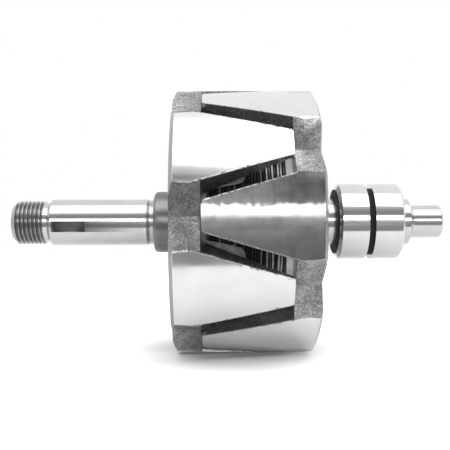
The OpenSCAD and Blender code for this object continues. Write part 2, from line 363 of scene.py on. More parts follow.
def shaft_points(profile):
    """The shaft's points, the least of its profile, thread and keyseat, and how dull each is, with keyseat
    shade.
    """
    wall = math.asin(KEY_W / 2 / seat_r)
    angle = shaft_columns(wall)
    along, radius = profile[:, 0, None], profile[:, 1, None]
    radius = np.minimum(radius, thread_radius(along, angle + KEY_ANGLE))
    across, height = radius * np.sin(angle), radius * np.cos(angle)
    in_key = (np.abs(angle) < wall - WALL_WIDTH / 2) & (np.abs(along - key_middle) < KEY_CUTTER_R)
    height = np.where(in_key, np.minimum(height, keyseat_floor(along)), height)
    below_crest = np.clip((thread_r - radius) / THREAD_DEPTH, 0, 1)
    in_thread = below_crest * (along > thread_start) * (along < thread_end)
    in_neck = (along > seat_end) & (along < collar_start)
    # In the keyseat this dark, dull value is partly its milled floor and partly painted shade in the recess.
    rough_cut_and_shade = KEY_DULL_AND_SHADE * in_key + NECK_DULL * in_neck
    rough_cut_and_shade = rough_cut_and_shade + THREAD_DULL * (along < thread_end) + ROOT_DULL * in_thread
    y = -height * math.cos(KEY_ANGLE) + across * math.sin(KEY_ANGLE)
    z = height * math.sin(KEY_ANGLE) + across * math.cos(KEY_ANGLE)
    return np.stack([np.broadcast_to(along, y.shape), y, z], axis=-1), rough_cut_and_shade.ravel()


hole_floors = np.array([[shaft_start + hole_len, 0, 0], [shaft_end - hole_len, 0, 0]])
points, rough_cut_and_shade = shaft_points(shaft_outline[1:-1])
shaft = piece_from_grid("ground_shaft", points, hole_floors)
keep_values(shaft, "rough_cut_and_shade", np.append(rough_cut_and_shade, [1, 1]))
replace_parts(shaft, "shaft")

# %% [markdown]
# ## Collar, slip rings and insulator
# These are plain turned rings, so each is one closed profile. What makes them look machined is the eased
# edge: a real edge is never perfectly sharp, and the small round on it catches a thin line of light. The
# collar's free edge has a round large enough to see, which is the same parabola with a longer reach.

# %% Draw the collar
COLLAR_ROUND = 1.9
COLLAR_BORE_EDGE, COLLAR_FAR_EDGE = 0.1, 0.2
COLLAR_SHARE = 0.8


def ring_piece(name, node, corners, reach, share=SIDE_SHARE):
    """A turned ring that stands for a solid."""
    piece = piece_from_grid(name, turned(eased(corners, reach, EDGE_STEPS, share)))
    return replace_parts(piece, node)


start, end, radius = span("spacer_collar")
collar_outline = [[start, seat_r], [start, radius], [end, radius], [end, seat_r]]
collar_reach = [COLLAR_BORE_EDGE, COLLAR_ROUND, COLLAR_FAR_EDGE, COLLAR_BORE_EDGE]
collar = ring_piece(
    "turned_collar", "spacer_collar", collar_outline, collar_reach, COLLAR_SHARE
)

# %% Draw the slip rings and their insulator
RING_WALL = 2.5
RING_EDGE, MOULDED_EDGE = 0.2, 0.1
INNER_CHAMFER_W, INNER_CHAMFER_H = 1.0, 2.0
OUTER_CHAMFER = 0.9
GROOVE_DEPTH = 1.6

rings_start, groove_start, ring_r = span("inner_slip_ring")
groove_end, rings_end, _ = span("outer_slip_ring")
lip_start = span("slip_ring_insulator")[0]
ring_bore = ring_r - RING_WALL
lip_r = ring_r - INNER_CHAMFER_H
rib_r = ring_r - GROOVE_DEPTH
inner_outline = [
    [rings_start, ring_bore], [rings_start, lip_r], [rings_start + INNER_CHAMFER_W, ring_r],
    [groove_start, ring_r], [groove_start, ring_bore],
]
outer_outline = [
    [groove_end, ring_bore], [groove_end, ring_r], [rings_end - OUTER_CHAMFER, ring_r],
    [rings_end, ring_r - OUTER_CHAMFER], [rings_end, ring_bore],
]
insulator_outline = [
    [lip_start, seat_r], [lip_start, lip_r], [rings_start, lip_r], [rings_start, ring_bore],
    [groove_start, ring_bore], [groove_start, rib_r], [groove_end, rib_r], [groove_end, ring_bore],
    [rings_end, ring_bore], [rings_end, seat_r],
]
inner_ring = ring_piece("polished_inner_ring", "inner_slip_ring", inner_outline, RING_EDGE)
outer_ring = ring_piece("polished_outer_ring", "outer_slip_ring", outer_outline, RING_EDGE)
insulator = ring_piece(
    "moulded_insulator", "slip_ring_insulator", insulator_outline, MOULDED_EDGE
)

# %% [markdown]
# ## The wound coil
# The coil's outer layer is one wire laid turn beside turn. A curve with a round bevel could follow it, but
# its many turns would be heavy. As a formula it is a row of half circles carried round the shaft. A real
# winding is never quite even, so each turn gets its own small drop, and a slow wave that makes it rise and
# sink on its way round. How far a turn is rubbed, together with a painted highlight along each wire's crest,
# is kept on the mesh as an attribute, so that the finish can give each turn its own tone. Turns towards the
# slip rings are rubbed more.

# %% Draw the winding
TURNS = 27
WIRE_STEPS = 8
WINDING_COLUMNS = 120
WIRE_LIFT = 0.16
WAVES_FROM, WAVES_TO = 2, 7
BARREL_R = 22.4
RUBBED_POWER = 1.5
RUBBED_AT_START = 0.3
WINDING_SEED = 189


def winding_points(rng):
    """The coil's points, and how far each is rubbed and lit by a painted crest highlight.

    Half circles lie side by side along the shaft. Each turn is lowered by its own amount, and by a sine wave
    that runs a few times round the shaft. Each turn is rubbed by its own share, times the square of the sine
    that draws its half circle, which paints a highlight along each wire's crest.
    """
    start, end, crest = span("field_winding")
    pitch = (end - start) / TURNS
    bow = np.linspace(np.pi, 0, WIRE_STEPS, endpoint=False)[None, :]
    turn = np.arange(TURNS)[:, None]
    along = (start + (turn + 0.5 + 0.5 * np.cos(bow)) * pitch).ravel()
    arc = (crest - 0.5 * pitch * (1 - np.sin(bow)) + 0 * turn).ravel()
    angle = np.linspace(0, 2 * np.pi, WINDING_COLUMNS, endpoint=False)
    lift = np.repeat(rng.uniform(-WIRE_LIFT, 0, TURNS), WIRE_STEPS)[:, None]
    waves = np.repeat(rng.integers(WAVES_FROM, WAVES_TO, TURNS), WIRE_STEPS)[:, None]
    shift = np.repeat(rng.uniform(0, 2 * np.pi, TURNS), WIRE_STEPS)[:, None]
    radius = arc[:, None] + lift + 0.5 * WIRE_LIFT * (np.sin(waves * angle + shift) - 1)
    bore = np.array([[end, crest - 0.5 * pitch], [end, BARREL_R], [start, BARREL_R]])
    along = np.concatenate([along, bore[:, 0]])
    radius = np.vstack([radius, np.repeat(bore[:, 1:], len(angle), axis=1)])
    x = np.broadcast_to(along[:, None], radius.shape)
    rubbed_and_lit = rng.uniform(0, 1, TURNS) ** RUBBED_POWER * np.linspace(RUBBED_AT_START, 1, TURNS)
    # The square of the sine paints a highlight along each wire's crest.
    tone = (rubbed_and_lit[:, None] * np.sin(bow) ** 2).ravel()
    tone = np.repeat(np.concatenate([tone, np.zeros(len(bore))]), len(angle))
    return np.stack([x, -radius * np.cos(angle), radius * np.sin(angle)], axis=-1), tone


points, tone = winding_points(np.random.default_rng(WINDING_SEED))
winding = piece_from_grid("wound_wire", points)
keep_values(winding, "turn_wear_and_highlight", tone)
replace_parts(winding, "field_winding")

# %% [markdown]
# ## Forged poles and moulded bobbin
# The pole pieces and the bobbin have the right form in the solids already. Only their edges are too sharp for
# a forging and a moulding. A solid's own mesh is never touched, so a copy is made: its loose triangles
# are merged, flat ones are joined, and a Bevel modifier eases every edge that turns by more than a set angle.

# %% Ease the copies
MERGE_WITHIN = 0.002 * MM
FLAT_WITHIN = math.radians(0.4)
EASE_ABOVE = math.radians(26)
EASE_SEGMENTS = 2
POLE_EASE, BOBBIN_EASE = 0.42, 0.45


def eased_copy(name, node, ease):
    """A merged copy of a solid, its edges eased by a bevel of the given width in millimetres."""
    work = bmesh.new()
    work.from_mesh(frame["nodes"][node].data)
    bmesh.ops.remove_doubles(work, verts=work.verts, dist=MERGE_WITHIN)
    bmesh.ops.dissolve_limit(work, angle_limit=FLAT_WITHIN, verts=work.verts, edges=work.edges)
    mesh = bpy.data.meshes.new(name)
    work.to_mesh(mesh)
    work.free()
    piece = add_piece(name, mesh)
    bevel = piece.modifiers.new("eased_edges", "BEVEL")
    bevel.limit_method = "ANGLE"
    bevel.angle_limit = EASE_ABOVE
    bevel.width = ease * MM
    bevel.segments = EASE_SEGMENTS
    bevel.harden_normals = True
    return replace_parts(piece, node)


drive_pole = eased_copy("forged_drive_end_pole", "drive_end_claw_pole", POLE_EASE)
ring_pole = eased_copy("forged_slip_ring_end_pole", "slip_ring_end_claw_pole", POLE_EASE)
bobbin = eased_copy("moulded_bobbin", "coil_bobbin", BOBBIN_EASE)

# %% [markdown]
# ## Rounded valleys
# Between its claws the slip-ring end's disc has valleys, and where they run out on the outer face the dies
# left a wide round. The angle limit of the first bevel can't tell those edges from the others. So their
# vertices go into a vertex group, and a second, wider bevel works on that group alone. It is moved to the top
# of the stack, because the group holds vertices of the mesh as it is before any other bevel.

# %% Round the valleys
CHAMFER_H = 2.7
VALLEY_ROUND, VALLEY_SEGMENTS = 1.5, 5
VALLEY_FROM = 0.8
ON_FACE = 0.02


def round_valley_edges(piece, face, rim_r):
    """Rounds the edges between the valleys and a face of the disc, out to the radius of its rim."""
    mesh = piece.data
    place = np.empty(3 * len(mesh.vertices))
    mesh.vertices.foreach_get("co", place)
    x, y, z = place.reshape(-1, 3).T / MM
    radius = np.hypot(y, z)
    on_edge = (np.abs(x - face) < ON_FACE) & (radius > VALLEY_FROM * pole_r) & (radius < rim_r + ON_FACE)
    group = piece.vertex_groups.new(name="valley_edges")
    group.add(np.flatnonzero(on_edge).tolist(), 1.0, "REPLACE")
    bevel = piece.modifiers.new("rounded_valleys", "BEVEL")
    bevel.limit_method = "VGROUP"
    bevel.vertex_group = group.name
    bevel.width = VALLEY_ROUND * MM
    bevel.segments = VALLEY_SEGMENTS
    piece.modifiers.move(len(piece.modifiers) - 1, 0)
    print(f"{piece.name}: {on_edge.sum()} vertices on valley edges")


round_valley_edges(ring_pole, ring_face, pole_r - CHAMFER_H)

# %% [markdown]
# ## Building finishes from nodes
# A finish is a small graph of shader nodes, which could also be drawn by hand in the shader editor. A few
# helpers keep the graphs readable as text: one fills a node's inputs, either with a number or with another
# node's output, one adds a node, and the rest add the nodes that come up most and hand back their result.


# %% Node helpers
def fill(tree, node, inputs):
    """Links each named input of a node to another node's output, or types a value into it."""
    for key, value in inputs.items():
        if isinstance(value, bpy.types.NodeSocket):
            tree.links.new(value, node.inputs[key])
        else:
            node.inputs[key].default_value = value
    return node


def add(tree, kind, inputs=None, **settings):
    """Adds a shader node, sets its settings and fills its inputs."""
    node = tree.nodes.new("ShaderNode" + kind)
    for key, value in settings.items():
        setattr(node, key, value)
    return fill(tree, node, inputs or {})


def maths(tree, operation, *values):
    """The result of a Math node."""
    return add(tree, "Math", dict(enumerate(values)), operation=operation).outputs[0]


def times(tree, first, *others):
    """The product of several values, such as masks that all have to hold."""
    for other in others:
        first = maths(tree, "MULTIPLY", first, other)
    return first


def mixture(tree, first, share, second):
    """A share of one value and the rest of another: first x share + second x (1 - share)."""
    return maths(tree, "MULTIPLY_ADD", first, share, times(tree, second, 1 - share))


def blend(tree, share, low, high):
    """A number that goes from low to high with a share."""
    return add(tree, "MapRange", {"Value": share, "To Min": low, "To Max": high}).outputs["Result"]


def step(tree, value, low, high):
    """A mask that goes smoothly from 0 to 1 as a value goes from low to high."""
    inputs = {"Value": value, "From Min": low, "From Max": high}
    return add(tree, "MapRange", inputs, interpolation_type="SMOOTHSTEP").outputs["Result"]


def mix_values(tree, share, low, high):
    """One of two values, or something between them, by a share."""
    return add(tree, "Mix", {0: share, 2: low, 3: high}).outputs[0]


def mix_colours(tree, share, low, high):
    """A colour that goes from low to high with a share."""
    return add(tree, "Mix", {0: share, 6: low, 7: high}, data_type="RGBA").outputs[2]


def grey(value):
    """A neutral colour."""
    return (value, value, value, 1)


def shade(tree, share, low, high):
    """A neutral colour that goes from the grey low to the grey high with a share."""
    return mix_colours(tree, share, grey(low), grey(high))


print("a middle grey is", grey(0.5))

# %% [markdown]
# ## The place on the shaft
# Some effects turn up on several pieces. Each is a node group: it is built once, takes a few inputs, and
# every material can use it. The first one is the place on the shaft. It gives the distance along it, the
# radius, and a path that runs round it, which a lathe's marks follow. It reads Object coordinates, so what
# is built on it stays put on the piece from any side.


# %% Make the place on the shaft
def start_group(name, inputs, outputs):
    """An empty node group with its sockets made, its inputs by name, and its output node."""
    tree = bpy.data.node_groups.new(name, "ShaderNodeTree")
    for way, sockets in (("INPUT", inputs), ("OUTPUT", outputs)):
        for socket, kind in sockets.items():
            tree.interface.new_socket(socket, in_out=way, socket_type="NodeSocket" + kind)
    return tree, tree.nodes.new("NodeGroupInput").outputs, tree.nodes.new("NodeGroupOutput")


def use_group(tree, group, inputs=None):
    """Places a node group in a material and hands back its outputs."""
    return add(tree, "Group", inputs, node_tree=group).outputs


def scaled(tree, vector, factor):
    """A vector times a number."""
    return add(tree, "VectorMath", {0: vector, "Scale": factor}, operation="SCALE").outputs["Vector"]


def make_place_group():
    """Distance along the shaft and radius in millimetres, the place, and a path round the shaft.

    The path is the point on a circle of radius 1 at the same angle, moved along the shaft by the distance.
    """
    outputs = {"Along": "Float", "Radius": "Float", "Place": "Vector", "Lathe Path": "Vector"}
    tree, _, out = start_group("place_on_shaft", {}, outputs)
    place = scaled(tree, add(tree, "TexCoord").outputs["Object"], 1 / MM)
    part = add(tree, "SeparateXYZ", {0: place}).outputs
    spoke = add(tree, "CombineXYZ", {"Y": part["Y"], "Z": part["Z"]}).outputs[0]
    radius = add(tree, "VectorMath", {0: spoke}, operation="LENGTH").outputs["Value"]
    circle = add(tree, "VectorMath", {0: spoke}, operation="NORMALIZE").outputs["Vector"]
    shift = add(tree, "CombineXYZ", {"X": part["X"]}).outputs[0]
    path = add(tree, "VectorMath", {0: circle, 1: shift}, operation="ADD").outputs["Vector"]
    fill(tree, out, {"Along": part["X"], "Radius": radius, "Place": place, "Lathe Path": path})
    return tree


place_on_shaft = make_place_group()
print("place_on_shaft gives", ", ".join(s.name for s in place_on_shaft.interface.items_tree))

# %% [markdown]
# ## Lathe lines, forged skin and handling marks
# Three more effects are noise in different forms. Lathe lines are noise squeezed along the path round the
# shaft, so that it turns into fine rings. Forged skin is coarse grain with scale, specks and pits in it.
# Handling marks are soft, wide patches that dull a bright surface. Photographs of real surfaces could be
# laid on instead, but noise has no seams and no fixed sharpness.


# %% Make the noise effects
def make_lathe_group():
    """Fine lines round the shaft: noise that changes fast along it and slowly round it."""
    inputs = {"Lathe Path": "Vector", "Lines per mm": "Float", "Wander": "Float"}
    tree, given, out = start_group("lathe_lines", inputs, {"Lines": "Float"})
    wander = given["Wander"]
    stretch = add(tree, "CombineXYZ", {"X": given["Lines per mm"], "Y": wander, "Z": wander}).outputs[0]
    path = add(tree, "VectorMath", {0: given["Lathe Path"], 1: stretch}, operation="MULTIPLY")
    noise = add(tree, "TexNoise", {"Vector": path.outputs["Vector"], "Scale": 1.0, "Detail": 3.0})
    fill(tree, out, {"Lines": step(tree, noise.outputs["Fac"], 0.25, 0.75)})
    return tree


def make_forged_group():
    """Coarse grain of a forging: a tone for its scale, bright specks, and a height for its pits."""
    inputs = {"Place": "Vector", "Grain mm": "Float"}
    outputs = {"Tone": "Float", "Specks": "Float", "Height": "Float"}
    tree, given, out = start_group("forged_skin", inputs, outputs)
    place = scaled(tree, given["Place"], maths(tree, "DIVIDE", 1.0, given["Grain mm"]))
    grain = add(tree, "TexNoise", {"Vector": place, "Scale": 1.0, "Detail": 4.0, "Roughness": 0.65})
    pits = add(tree, "TexVoronoi", {"Vector": place, "Scale": 0.8}, feature="SMOOTH_F1")
    lumps = add(tree, "TexNoise", {"Vector": place, "Scale": 0.22, "Detail": 2.0})
    glint = add(tree, "TexNoise", {"Vector": place, "Scale": 1.7, "Detail": 1.0})
    pitted = maths(tree, "MULTIPLY_ADD", pits.outputs["Distance"], 0.5, grain.outputs["Fac"])
    height = maths(tree, "MULTIPLY_ADD", lumps.outputs["Fac"], 1.2, pitted)
    speckle = step(tree, grain.outputs["Fac"], 0.4, 0.68)
    patch = step(tree, lumps.outputs["Fac"], 0.3, 0.7)
    specks = step(tree, glint.outputs["Fac"], 0.63, 0.72)
    fill(tree, out, {"Tone": mixture(tree, patch, 0.35, speckle), "Specks": specks, "Height": height})
    return tree


def make_handling_group():
    """Soft patches of a given size that hands and oil leave."""
    inputs = {"Place": "Vector", "Size mm": "Float"}
    tree, given, out = start_group("handling_marks", inputs, {"Marks": "Float"})
    place = scaled(tree, given["Place"], maths(tree, "DIVIDE", 1.0, given["Size mm"]))
    noise = add(tree, "TexNoise", {"Vector": place, "Scale": 1.0, "Detail": 3.0, "Distortion": 0.8})
    fill(tree, out, {"Marks": step(tree, noise.outputs["Fac"], 0.35, 0.7)})
    return tree


lathe_lines = make_lathe_group()
forged_skin = make_forged_group()
handling_marks = make_handling_group()
print("shared effects:", ", ".join(g.name for g in bpy.data.node_groups))

# %% [markdown]
# ## Bright turned steel
# The shaft, the rings, the collar and the hidden core are all turned metal. They differ in how bright the
# metal is, how finely it was cut and how rough it was left, so one function takes those numbers and makes
# each finish. Lines and marks change the roughness more than the colour, because that is what a cut surface
# does to a reflection. Where the shaft keeps a number for a rough cut, the metal turns dark and dull; in the
# keyseat that darkening is partly painted shade.

# %% Helpers for metal
QUARTER_TURN = 0.25


def new_material(name):
    """A material with an empty graph, its tree and its Principled shader."""
    material = bpy.data.materials.new(name)
    material.use_nodes = True
    return material, material.node_tree, material.node_tree.nodes["Principled BSDF"]


def lines_on(tree, place, lines_per_mm, wander):
    """Lathe lines at a place on the shaft."""
    inputs = {"Lathe Path": place["Lathe Path"], "Lines per mm": lines_per_mm, "Wander": wander}
    return use_group(tree, lathe_lines, inputs)["Lines"]


def marks_on(tree, place, size):
    """Handling marks of a size in millimetres at a place on the shaft."""
    return use_group(tree, handling_marks, {"Place": place["Place"], "Size mm": size})["Marks"]


def bumps(tree, height, depth):
    """Normals of a surface that is raised by a height times a depth in millimetres."""
    inputs = {"Height": height, "Distance": depth * MM, "Strength": 1.0}
    return add(tree, "Bump", inputs).outputs["Normal"]


def smear_along_shaft(tree, shader, smear):
    """Smears reflections along the shaft, as fine grooves that run round it do."""
    round_shaft = add(tree, "Tangent", direction_type="RADIAL", axis="X").outputs["Tangent"]
    fill(tree, shader, {"Tangent": round_shaft, "Anisotropic": smear, "Anisotropic Rotation": QUARTER_TURN})


print("reflections are smeared", round(360 * QUARTER_TURN), "degrees from the lathe's grooves")

# %% Make the turned metals
METAL_MARKS_MM, METAL_WANDER = 9.0, 1.5
LINES_SHARE = 0.55
ROUGH_CUT_AND_SHADE_TONE, ROUGH_CUT_ROUGH = 0.10, 0.28
METAL_SMEAR = 0.7


def turned_metal(name, tone, rough, lines_per_mm, line_depth):
    """Metal cut on a lathe: tone and rough are each a pair, from clean to marked.

    Where a mesh keeps a value for a rough cut, the metal is as dull and dark as an unground cut; in the
    keyseat that dark is partly painted shade.
    """
    material, tree, shader = new_material(name)
    place = use_group(tree, place_on_shaft)
    lines = lines_on(tree, place, lines_per_mm, METAL_WANDER)
    wear = mixture(tree, lines, LINES_SHARE, marks_on(tree, place, METAL_MARKS_MM))
    rough_cut_and_shade = add(tree, "Attribute", attribute_name="rough_cut_and_shade").outputs["Fac"]
    # The rough cut's dark grey is an unground cut's colour, and in the keyseat partly painted shade.
    colour = mix_colours(tree, rough_cut_and_shade, shade(tree, wear, *tone), grey(ROUGH_CUT_AND_SHADE_TONE))
    dull = maths(tree, "MULTIPLY_ADD", rough_cut_and_shade, ROUGH_CUT_ROUGH, blend(tree, wear, *rough))
    normal = bumps(tree, lines, line_depth)
    fill(tree, shader, {"Base Color": colour, "Roughness": dull, "Metallic": 1.0, "Normal": normal})
    smear_along_shaft(tree, shader, METAL_SMEAR)
    return material


ground_steel = turned_metal("ground_steel", (0.72, 0.60), (0.15, 0.25), 9.0, 0.002)
ring_metal = turned_metal("polished_ring_metal", (0.80, 0.72), (0.11, 0.20), 7.0, 0.001)
collar_steel = turned_metal("matt_collar_steel", (0.30, 0.20), (0.36, 0.50), 5.0, 0.006)
core_iron = turned_metal("machined_core_iron", (0.45, 0.35), (0.3, 0.45), 4.0, 0.01)
print("turned metals:", ", ".join(m.name for m in (ground_steel, ring_metal, collar_steel, core_iron)))

# %% [markdown]
# ## Where a place lies on the poles
# A pole piece is a dark, rough forging. After assembly the rotor is turned, so only its outside diameter
# and the chamfer at each end are bright. Where the bright metal ends, and how its edges look, depends on
# where a place lies: how far over or under the turned outline, how far from a face, and how far from the edge
# of its claw. A claw is a simple shape round the shaft, so all of that is worked out from Object coordinates,
# and no mask has to be painted.

# %% Measure the poles
CLAW_PITCH = math.radians(60)
CLAW_ROOT_A, CLAW_TIP_A = math.radians(16.6), math.radians(5.9)
CLAW_LEN, DISC_W = 40.0, 9.7
CHAMFER_W = 1.5
CLAW_BLUR = 0.01


def angle_round_shaft(tree, place):
    """The angle round the shaft, from the side that faces the camera and upwards."""
    part = add(tree, "SeparateXYZ", {0: place["Place"]}).outputs
    return maths(tree, "ARCTAN2", part["Z"], times(tree, part["Y"], -1.0))


def claw_edge_distance(tree, angle, from_drive, from_ring):
    """How far a place lies inside its claw's edge, in millimetres round the turned face, and on which side.

    A claw's half width is an angle that falls in a straight line from root to tip. Claws of the ring end
    stand at whole pitches, those of the drive end between them, so a ping-pong wave of the angle
    round the shaft is the angle from the one and, taken from half a pitch, from the other. The side is above
    zero on the half of a claw that lies further round the shaft than its middle. A mask tells the claws of
    the ring end from those of the drive end.
    """
    half_pitch = CLAW_PITCH / 2
    taper = (CLAW_TIP_A - CLAW_ROOT_A) / (CLAW_LEN - DISC_W)
    at_face = CLAW_ROOT_A - taper * DISC_W
    turn = maths(tree, "PINGPONG", angle, half_pitch)
    half_ring = maths(tree, "MULTIPLY_ADD", from_ring, taper, at_face)
    half_drive = maths(tree, "MULTIPLY_ADD", from_drive, taper, at_face - half_pitch)
    in_ring = maths(tree, "SUBTRACT", half_ring, turn)
    in_drive = maths(tree, "ADD", half_drive, turn)
    nearer_ring = maths(tree, "SUBTRACT", in_ring, in_drive)
    side = times(tree, maths(tree, "WRAP", angle, half_pitch, -half_pitch), nearer_ring)
    inside = times(tree, maths(tree, "MAXIMUM", in_ring, in_drive), pole_r)
    return inside, side, step(tree, nearer_ring, -CLAW_BLUR, CLAW_BLUR)


def measure_pole(tree, place):
    """What the finish of the poles is worked out from, by name, with lengths in millimetres.

    inset is the distance from the nearer face of the poles and from_ring that from the slip-ring end's face.
    over is the radius less that of the turned outline, which is a cylinder with a cone at each face.
    inside, side and ring_claw are what claw_edge_distance gives.
    """
    from_drive = maths(tree, "SUBTRACT", place["Along"], drive_face)
    from_ring = maths(tree, "SUBTRACT", ring_face, place["Along"])
    inset = maths(tree, "MINIMUM", from_drive, from_ring)
    cone = maths(tree, "MULTIPLY_ADD", inset, CHAMFER_H / CHAMFER_W, pole_r - CHAMFER_H)
    over = maths(tree, "SUBTRACT", place["Radius"], maths(tree, "MINIMUM", cone, pole_r))
    angle = angle_round_shaft(tree, place)
    inside, side, ring_claw = claw_edge_distance(tree, angle, from_drive, from_ring)
    away = maths(tree, "ABSOLUTE", angle)
    return {
        "inset": inset, "from_ring": from_ring, "over": over, "angle": angle, "away": away,
        "inside": inside, "side": side, "ring_claw": ring_claw,
    }


print(f"claws every {math.degrees(CLAW_PITCH):.0f} degrees, turned to a radius of {pole_r:.1f} mm")

# %% [markdown]
# ## Masks for the turned face
# The line between forging and turned face is ragged, as scale breaks off, and the tool chips a claw's edge
# here and there: noise lowers the line and bites into the edge. A few more things show on the claws at the
# front. A thin bright line lies along one edge of them, partly a burr that the tool dragged over it and
# partly a painted highlight. The claw that faces the camera is darker, partly stained and partly painted
# shade, and its upper part is dulled by a scuff and painted darker still, as painted shade. Each is a mask
# from the measures above, so each can be moved or left out by itself.

# %% Masks for the poles
CHIP_MM, CHIP_FROM, CHIP_TO = 0.6, 0.55, 1.0
WHOLE_FROM, WHOLE_TO = 0.08, 0.28
SCALE_RAGGED = 0.22
CUT_FROM, CUT_TO = -0.45, -0.25
# The burr is partly a bare burr and partly a painted highlight along the front claws' upper edge.
BURR_AND_HIGHLIGHT_MM, BURR_AND_HIGHLIGHT_CORE_MM, BURR_AND_HIGHLIGHT_HALF_A = 0.45, 0.27, math.radians(45)
BURR_AND_HIGHLIGHT_FROM, BURR_AND_HIGHLIGHT_TO = -0.6, -0.4
BURR_AND_HIGHLIGHT_PAST_DISC = 0.8
MIDDLE_BLUR = 0.001
# The front claw's stain and its scuffed upper part are partly real marks and partly painted shade.
STAIN_AND_SHADE_HALF_A = math.radians(24)
SCUFF_AND_SHADE_FROM, SCUFF_AND_SHADE_RAGGED = math.radians(3.8), math.radians(2.2)
SCUFF_AND_SHADE_NOISE = 0.6
FADE_FROM = 0.8
MASK_HIGH, MASK_LOW = 0.6, 0.2


def outside(tree, mask):
    """1 where another mask is low and 0 where it is high."""
    return step(tree, mask, MASK_HIGH, MASK_LOW)


def cut_mask(tree, pole, scale, chips):
    """1 where the lathe has cut: near the turned outline, and inside the claw's chipped edge."""
    chipped = maths(tree, "MULTIPLY_ADD", step(tree, chips, CHIP_FROM, CHIP_TO), -CHIP_MM, pole["inside"])
    ragged = maths(tree, "MULTIPLY_ADD", scale, -SCALE_RAGGED, pole["over"])
    return times(tree, step(tree, ragged, CUT_FROM, CUT_TO), step(tree, chipped, WHOLE_FROM, WHOLE_TO))


def burr_and_highlight_mask(tree, pole, chips):
    """1 on a burr and painted highlight along one edge of the claws at the front, where no chip has broken
    off.
    """
    on_edge = step(tree, pole["inside"], BURR_AND_HIGHLIGHT_MM, BURR_AND_HIGHLIGHT_CORE_MM)
    near_face = step(tree, pole["over"], BURR_AND_HIGHLIGHT_FROM, BURR_AND_HIGHLIGHT_TO)
    far_side = step(tree, pole["side"], 0.0, MIDDLE_BLUR)
    past_disc = step(tree, pole["inset"], DISC_W, DISC_W + BURR_AND_HIGHLIGHT_PAST_DISC)
    at_front = step(tree, pole["away"], BURR_AND_HIGHLIGHT_HALF_A, FADE_FROM * BURR_AND_HIGHLIGHT_HALF_A)
    return times(tree, on_edge, near_face, far_side, past_disc, at_front, outside(tree, chips))


def front_claw_masks(tree, pole, patches):
    """1 on the claw that faces the camera and 1 on its upper part, ragged below: stain and painted shade."""
    near = step(tree, pole["away"], STAIN_AND_SHADE_HALF_A, FADE_FROM * STAIN_AND_SHADE_HALF_A)
    front = times(tree, near, pole["ring_claw"])
    edge = maths(tree, "MULTIPLY_ADD", patches, SCUFF_AND_SHADE_NOISE * SCUFF_AND_SHADE_RAGGED, pole["angle"])
    return front, times(tree, front, step(tree, edge, SCUFF_AND_SHADE_FROM, SCUFF_AND_SHADE_FROM + SCUFF_AND_SHADE_RAGGED))


print(f"chips up to {CHIP_MM} mm, burrs {BURR_AND_HIGHLIGHT_MM} mm wide")

# %% [markdown]
# ## Forged steel, turned over the claws
# Now the masks meet in one material. The turned face is bright and smooth. The stain and the scuff darken
# it, partly as real marks and partly as painted shade, and the chamfer is painted darker as painted shade.
# The burr lies over both, partly bare metal and partly a painted highlight. The forging is mottled, with
# specks of bare metal. Two materials on sorted faces could do the same, but then the line between them
# would follow the mesh, and here it follows the noise.

# %% Make the pole steel
GRAIN_MM = 0.65
POLE_LINES, POLE_WANDER = 3.5, 2.5
POLE_LINES_SHARE, PATCH_SHARE, RING_END_SHARE = 0.3, 0.65, 0.5
POLE_MARKS_MM, PATCH_MM, CHIP_SIZE_MM = 14.0, 5.0, 1.1
# The stain's tones are partly painted shade; the scuff's dark tones are painted shade on the upper part.
TURNED_TONES, STAIN_AND_SHADE_TONES, PAINTED_UPPER_SHADE_TONES = (0.86, 0.80), (0.48, 0.33), (0.25, 0.09)
FORGED_TONES, SPECK_TONE = (0.15, 0.48), 0.60
# The chamfer's grey is painted shade; the burr's bright grey is partly a painted highlight.
BURR_AND_HIGHLIGHT_TONE, CHAMFER_SHADE_TONE = 0.92, 0.36
DARKER_FROM, DARKER_TO = 24.0, 8.0
CHAMFER_BLUR = 0.3
TURNED_ROUGH, FORGED_ROUGH, SCUFF_ROUGH = (0.12, 0.22), (0.28, 0.17), 0.22
LINE_HEIGHT, SKIN_DEPTH = 0.03, 0.06
FORGED_METALLIC = 0.88


def turned_pole_tone(tree, pole, wear, dirt, front, scuff_and_shade, burr_and_highlight):
    """Turned steel, then stain and scuff with painted shade, burr with painted highlight, and chamfer shade.
    """
    clean = shade(tree, wear, *TURNED_TONES)
    # The claw that faces the camera is darkened here, partly as a stain and partly as painted shade.
    stained_and_shaded = mix_colours(tree, front, clean, shade(tree, dirt, *STAIN_AND_SHADE_TONES))
    near_ring_end = step(tree, pole["from_ring"], DARKER_FROM, DARKER_TO)
    darker = mixture(tree, near_ring_end, RING_END_SHARE, dirt)
    # The upper part of that claw is painted darker here, as painted shade.
    scuffed_and_shaded = mix_colours(tree, scuff_and_shade, stained_and_shaded, shade(tree, darker, *PAINTED_UPPER_SHADE_TONES))
    # A bright line along the upper edge, partly a bare burr and partly a painted highlight.
    burred_and_lit = mix_colours(tree, burr_and_highlight, scuffed_and_shaded, grey(BURR_AND_HIGHLIGHT_TONE))
    # The chamfer is painted darker here, as painted shade for the darker surroundings it faces.
    on_chamfer = step(tree, pole["inset"], CHAMFER_W, CHAMFER_W - CHAMFER_BLUR)
    return mix_colours(tree, on_chamfer, burred_and_lit, grey(CHAMFER_SHADE_TONE))


